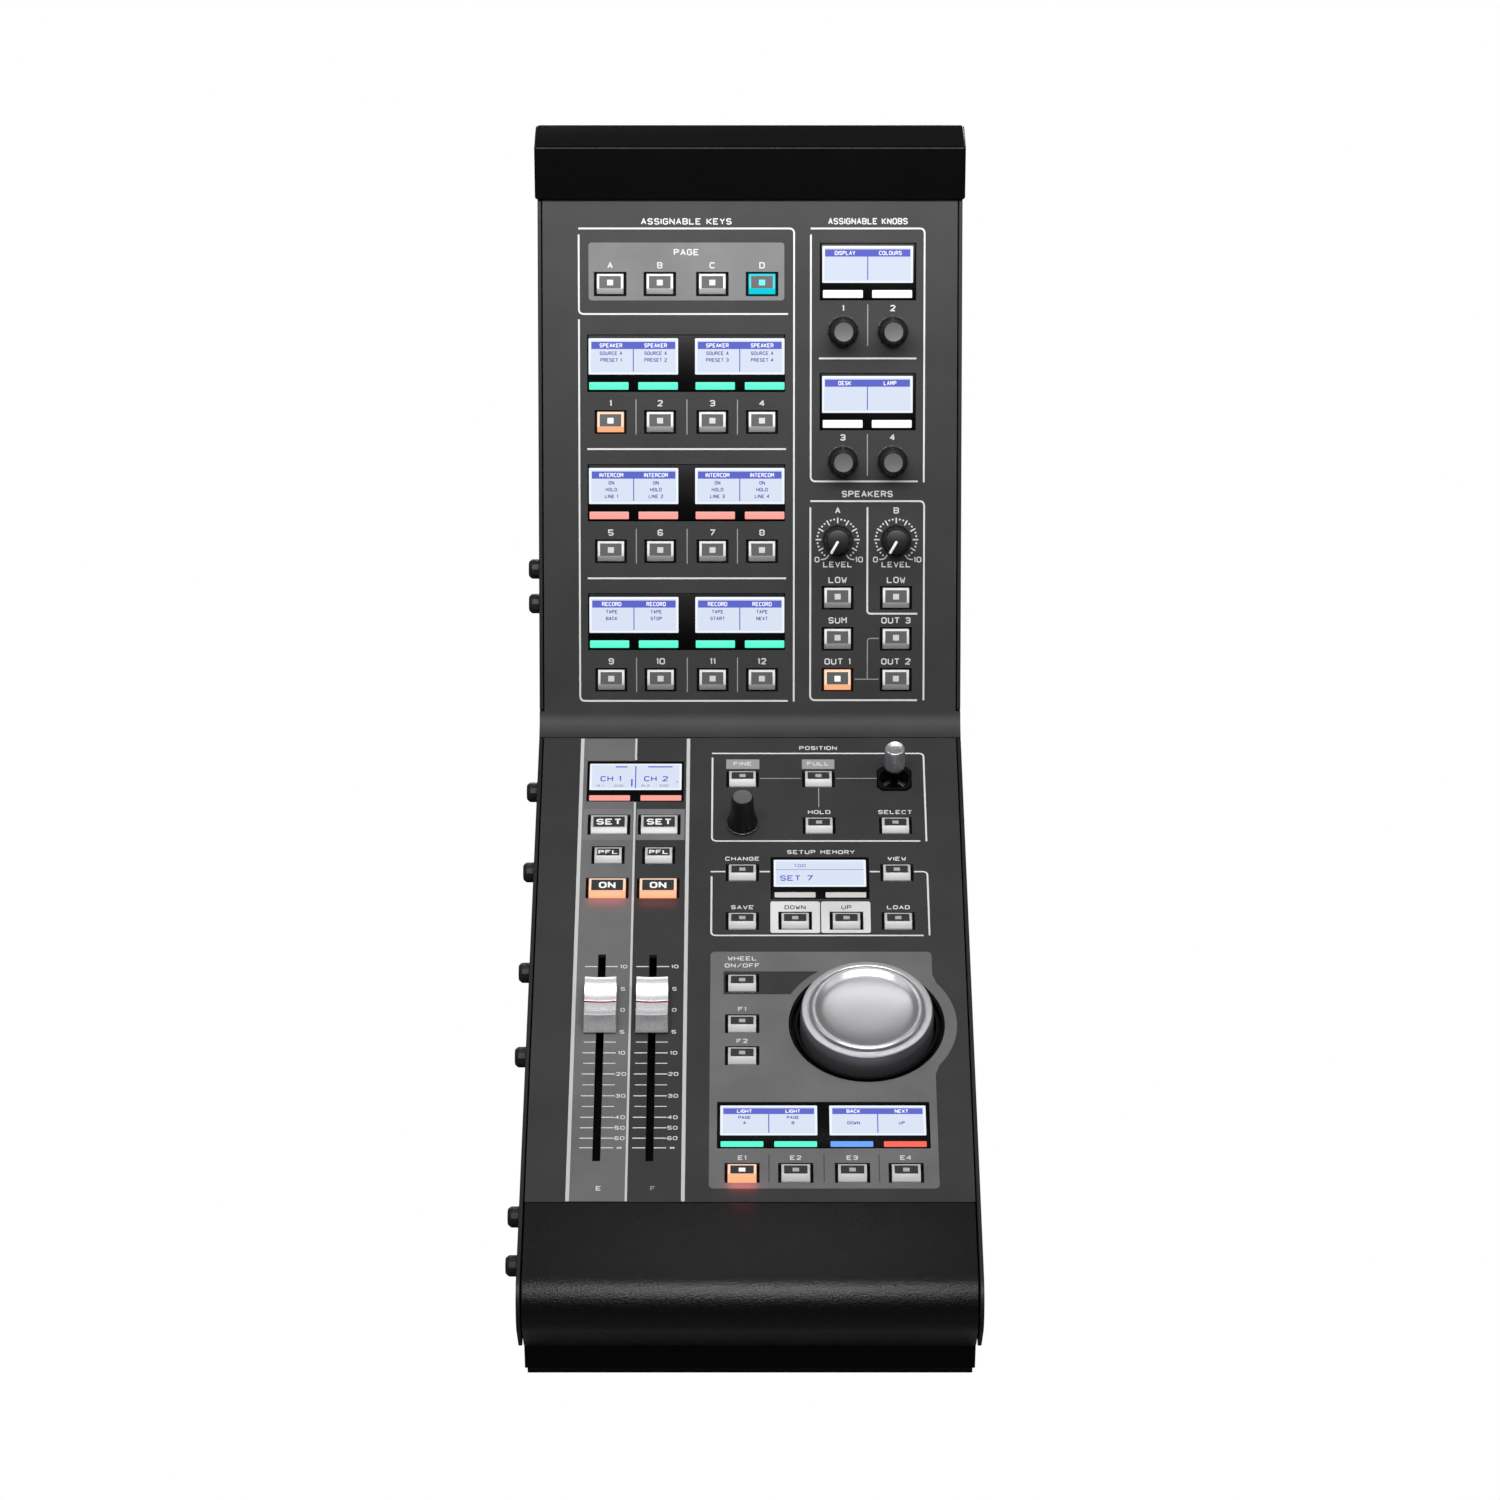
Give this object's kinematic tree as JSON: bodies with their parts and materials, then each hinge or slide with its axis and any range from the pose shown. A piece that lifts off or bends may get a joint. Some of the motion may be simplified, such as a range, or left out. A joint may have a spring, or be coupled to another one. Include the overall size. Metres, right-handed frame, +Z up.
{
  "type": "fader and monitor control console",
  "caption": "Narrow desktop console: sloping front panel with faders, jog wheel and joystick below a steep upper panel with knobs, lit keys and displays.",
  "frame": {"origin": "middle of the underside, on the surface that the desk stands on", "axes": "+Y away from the operator, +X to the operator's right, +Z up"},
  "size_m": [0.1876, 0.564, 0.323],
  "materials": {
    "panel_paint": "fine satin dark grey paint with pale printed lines",
    "cover_paint": "black fine-textured powder coat",
    "armrest_cover": "black grained soft covering",
    "rubber": "black matt rubber",
    "lens": "smoked gloss lens with lit colour displays",
    "steel": "plated sheet steel",
    "black_plastic": "moulded black plastic",
    "circuit_board": "green board with black parts",
    "fader_cap": "silver-grey moulding with a dark red centre line",
    "turned_metal": "turned and polished metal",
    "knob": "black body with a grey top disc",
    "key_cap": "silver-grey translucent cap with a lamp window"
  },
  "bodies": {
    "root": {"upper_panel": "panel_paint", "lower_panel": "panel_paint", "side_plate_right": "cover_paint", "side_plate_left": "cover_paint", "armrest": "armrest_cover", "chassis_tray": "cover_paint", "rear_panel": "cover_paint", "top_cap": "cover_paint", "front_foot": "rubber", "rear_foot": "rubber", "upper_display_lens": "lens", "lower_display_lens": "lens", "fader_frames": "steel", "jog_housing": "black_plastic", "joystick_housing": "black_plastic", "upper_circuit_board": "circuit_board", "lower_circuit_board": "circuit_board", "main_board": "circuit_board"},
    "fader_knob_1": {"fader_knob_1": "fader_cap"},
    "fader_knob_2": {"fader_knob_2": "fader_cap"},
    "joystick_gimbal": {"joystick_gimbal": "steel"},
    "joystick_stick": {"joystick_stick": "turned_metal"},
    "jog_wheel": {"jog_wheel": "turned_metal"},
    "pan_knob": {"pan_knob": "knob"},
    "level_knob_a": {"level_knob_a": "knob"},
    "level_knob_b": {"level_knob_b": "knob"},
    "user_knob_1": {"user_knob_1": "knob"},
    "user_knob_2": {"user_knob_2": "knob"},
    "user_knob_3": {"user_knob_3": "knob"},
    "user_knob_4": {"user_knob_4": "knob"},
    "sel_key_1": {"sel_key_1": "key_cap"},
    "cue_key_1": {"cue_key_1": "key_cap"},
    "on_key_1": {"on_key_1": "key_cap"},
    "sel_key_2": {"sel_key_2": "key_cap"},
    "cue_key_2": {"cue_key_2": "key_cap"},
    "on_key_2": {"on_key_2": "key_cap"},
    "relative_key": {"relative_key": "key_cap"},
    "absolute_key": {"absolute_key": "key_cap"},
    "grab_key": {"grab_key": "key_cap"},
    "assign_key": {"assign_key": "key_cap"},
    "update_key": {"update_key": "key_cap"},
    "preview_key": {"preview_key": "key_cap"},
    "store_key": {"store_key": "key_cap"},
    "decrement_key": {"decrement_key": "key_cap"},
    "increment_key": {"increment_key": "key_cap"},
    "recall_key": {"recall_key": "key_cap"},
    "jog_on_key": {"jog_on_key": "key_cap"},
    "function_1_key": {"function_1_key": "key_cap"},
    "function_2_key": {"function_2_key": "key_cap"},
    "scene_recall_keys": {"scene_recall_keys": "key_cap"},
    "dim_a_key": {"dim_a_key": "key_cap"},
    "dim_b_key": {"dim_b_key": "key_cap"},
    "mono_key": {"mono_key": "key_cap"},
    "alt_2_key": {"alt_2_key": "key_cap"},
    "main_key": {"main_key": "key_cap"},
    "alt_1_key": {"alt_1_key": "key_cap"},
    "bank_keys": {"bank_keys": "key_cap"},
    "user_keys_1_4": {"user_keys_1_4": "key_cap"},
    "user_keys_5_8": {"user_keys_5_8": "key_cap"},
    "user_keys_9_12": {"user_keys_9_12": "key_cap"}
  },
  "joints": [
    {"name": "fader_1_slide", "type": "slide", "parent": "root", "child": "fader_knob_1", "axis": [0, 0.987, 0.1607], "range_m": [-0.0747, 0.0243]},
    {"name": "fader_2_slide", "type": "slide", "parent": "root", "child": "fader_knob_2", "axis": [0, 0.987, 0.1607], "range_m": [-0.0747, 0.0243]},
    {"name": "joystick_front_back", "type": "hinge", "parent": "root", "child": "joystick_gimbal", "pos_m": [0.0617, 0.0023, 0.08798], "axis": [1, 0, 0], "range_deg": [-18, 18]},
    {"name": "joystick_left_right", "type": "hinge", "parent": "joystick_gimbal", "child": "joystick_stick", "pos_m": [0.0617, 0.0023, 0.08798], "axis": [0, 0.987, 0.1607], "range_deg": [-18, 18]},
    {"name": "jog_wheel_turn", "type": "hinge", "parent": "root", "child": "jog_wheel", "pos_m": [0.0476, -0.13953, 0.07298], "axis": [0, -0.1607, 0.987], "continuous": true},
    {"name": "pan_knob_turn", "type": "hinge", "parent": "root", "child": "pan_knob", "pos_m": [-0.0032, -0.02672, 0.09136], "axis": [0, -0.1607, 0.987], "continuous": true},
    {"name": "level_knob_a_turn", "type": "hinge", "parent": "root", "child": "level_knob_a", "pos_m": [0.0378, 0.07182, 0.17193], "axis": [0, -0.8746, 0.4848], "range_deg": [-300, 0]},
    {"name": "level_knob_b_turn", "type": "hinge", "parent": "root", "child": "level_knob_b", "pos_m": [0.063, 0.07182, 0.17193], "axis": [0, -0.8746, 0.4848], "range_deg": [-300, 0]},
    {"name": "user_knob_1_turn", "type": "hinge", "parent": "root", "child": "user_knob_1", "pos_m": [0.03995, 0.11521, 0.25021], "axis": [0, -0.8746, 0.4848], "continuous": true},
    {"name": "user_knob_2_turn", "type": "hinge", "parent": "root", "child": "user_knob_2", "pos_m": [0.06125, 0.11521, 0.25021], "axis": [0, -0.8746, 0.4848], "continuous": true},
    {"name": "user_knob_3_turn", "type": "hinge", "parent": "root", "child": "user_knob_3", "pos_m": [0.03995, 0.08823, 0.20154], "axis": [0, -0.8746, 0.4848], "continuous": true},
    {"name": "user_knob_4_turn", "type": "hinge", "parent": "root", "child": "user_knob_4", "pos_m": [0.06125, 0.08823, 0.20154], "axis": [0, -0.8746, 0.4848], "continuous": true},
    {"name": "sel_key_1_press", "type": "slide", "parent": "root", "child": "sel_key_1", "axis": [0, 0.1607, -0.987], "range_m": [0, 0.0009], "stiffness_N_per_m": 500},
    {"name": "cue_key_1_press", "type": "slide", "parent": "root", "child": "cue_key_1", "axis": [0, 0.1607, -0.987], "range_m": [0, 0.0009], "stiffness_N_per_m": 500},
    {"name": "on_key_1_press", "type": "slide", "parent": "root", "child": "on_key_1", "axis": [0, 0.1607, -0.987], "range_m": [0, 0.0009], "stiffness_N_per_m": 500},
    {"name": "sel_key_2_press", "type": "slide", "parent": "root", "child": "sel_key_2", "axis": [0, 0.1607, -0.987], "range_m": [0, 0.0009], "stiffness_N_per_m": 500},
    {"name": "cue_key_2_press", "type": "slide", "parent": "root", "child": "cue_key_2", "axis": [0, 0.1607, -0.987], "range_m": [0, 0.0009], "stiffness_N_per_m": 500},
    {"name": "on_key_2_press", "type": "slide", "parent": "root", "child": "on_key_2", "axis": [0, 0.1607, -0.987], "range_m": [0, 0.0009], "stiffness_N_per_m": 500},
    {"name": "relative_key_press", "type": "slide", "parent": "root", "child": "relative_key", "axis": [0, 0.1607, -0.987], "range_m": [0, 0.0009], "stiffness_N_per_m": 500},
    {"name": "absolute_key_press", "type": "slide", "parent": "root", "child": "absolute_key", "axis": [0, 0.1607, -0.987], "range_m": [0, 0.0009], "stiffness_N_per_m": 500},
    {"name": "grab_key_press", "type": "slide", "parent": "root", "child": "grab_key", "axis": [0, 0.1607, -0.987], "range_m": [0, 0.0009], "stiffness_N_per_m": 500},
    {"name": "assign_key_press", "type": "slide", "parent": "root", "child": "assign_key", "axis": [0, 0.1607, -0.987], "range_m": [0, 0.0009], "stiffness_N_per_m": 500},
    {"name": "update_key_press", "type": "slide", "parent": "root", "child": "update_key", "axis": [0, 0.1607, -0.987], "range_m": [0, 0.0009], "stiffness_N_per_m": 500},
    {"name": "preview_key_press", "type": "slide", "parent": "root", "child": "preview_key", "axis": [0, 0.1607, -0.987], "range_m": [0, 0.0009], "stiffness_N_per_m": 500},
    {"name": "store_key_press", "type": "slide", "parent": "root", "child": "store_key", "axis": [0, 0.1607, -0.987], "range_m": [0, 0.0009], "stiffness_N_per_m": 500},
    {"name": "decrement_key_press", "type": "slide", "parent": "root", "child": "decrement_key", "axis": [0, 0.1607, -0.987], "range_m": [0, 0.0009], "stiffness_N_per_m": 500},
    {"name": "increment_key_press", "type": "slide", "parent": "root", "child": "increment_key", "axis": [0, 0.1607, -0.987], "range_m": [0, 0.0009], "stiffness_N_per_m": 500},
    {"name": "recall_key_press", "type": "slide", "parent": "root", "child": "recall_key", "axis": [0, 0.1607, -0.987], "range_m": [0, 0.0009], "stiffness_N_per_m": 500},
    {"name": "jog_on_key_press", "type": "slide", "parent": "root", "child": "jog_on_key", "axis": [0, 0.1607, -0.987], "range_m": [0, 0.0009], "stiffness_N_per_m": 500},
    {"name": "function_1_key_press", "type": "slide", "parent": "root", "child": "function_1_key", "axis": [0, 0.1607, -0.987], "range_m": [0, 0.0009], "stiffness_N_per_m": 500},
    {"name": "function_2_key_press", "type": "slide", "parent": "root", "child": "function_2_key", "axis": [0, 0.1607, -0.987], "range_m": [0, 0.0009], "stiffness_N_per_m": 500},
    {"name": "scene_recall_keys_press", "type": "slide", "parent": "root", "child": "scene_recall_keys", "axis": [0, 0.1607, -0.987], "range_m": [0, 0.0009], "stiffness_N_per_m": 1000},
    {"name": "dim_a_key_press", "type": "slide", "parent": "root", "child": "dim_a_key", "axis": [0, 0.8746, -0.4848], "range_m": [0, 0.0009], "stiffness_N_per_m": 500},
    {"name": "dim_b_key_press", "type": "slide", "parent": "root", "child": "dim_b_key", "axis": [0, 0.8746, -0.4848], "range_m": [0, 0.0009], "stiffness_N_per_m": 500},
    {"name": "mono_key_press", "type": "slide", "parent": "root", "child": "mono_key", "axis": [0, 0.8746, -0.4848], "range_m": [0, 0.0009], "stiffness_N_per_m": 500},
    {"name": "alt_2_key_press", "type": "slide", "parent": "root", "child": "alt_2_key", "axis": [0, 0.8746, -0.4848], "range_m": [0, 0.0009], "stiffness_N_per_m": 500},
    {"name": "main_key_press", "type": "slide", "parent": "root", "child": "main_key", "axis": [0, 0.8746, -0.4848], "range_m": [0, 0.0009], "stiffness_N_per_m": 500},
    {"name": "alt_1_key_press", "type": "slide", "parent": "root", "child": "alt_1_key", "axis": [0, 0.8746, -0.4848], "range_m": [0, 0.0009], "stiffness_N_per_m": 500},
    {"name": "bank_keys_press", "type": "slide", "parent": "root", "child": "bank_keys", "axis": [0, 0.8746, -0.4848], "range_m": [0, 0.0009], "stiffness_N_per_m": 1000},
    {"name": "user_keys_1_4_press", "type": "slide", "parent": "root", "child": "user_keys_1_4", "axis": [0, 0.8746, -0.4848], "range_m": [0, 0.0009], "stiffness_N_per_m": 1000},
    {"name": "user_keys_5_8_press", "type": "slide", "parent": "root", "child": "user_keys_5_8", "axis": [0, 0.8746, -0.4848], "range_m": [0, 0.0009], "stiffness_N_per_m": 1000},
    {"name": "user_keys_9_12_press", "type": "slide", "parent": "root", "child": "user_keys_9_12", "axis": [0, 0.8746, -0.4848], "range_m": [0, 0.0009], "stiffness_N_per_m": 1000}
  ]
}
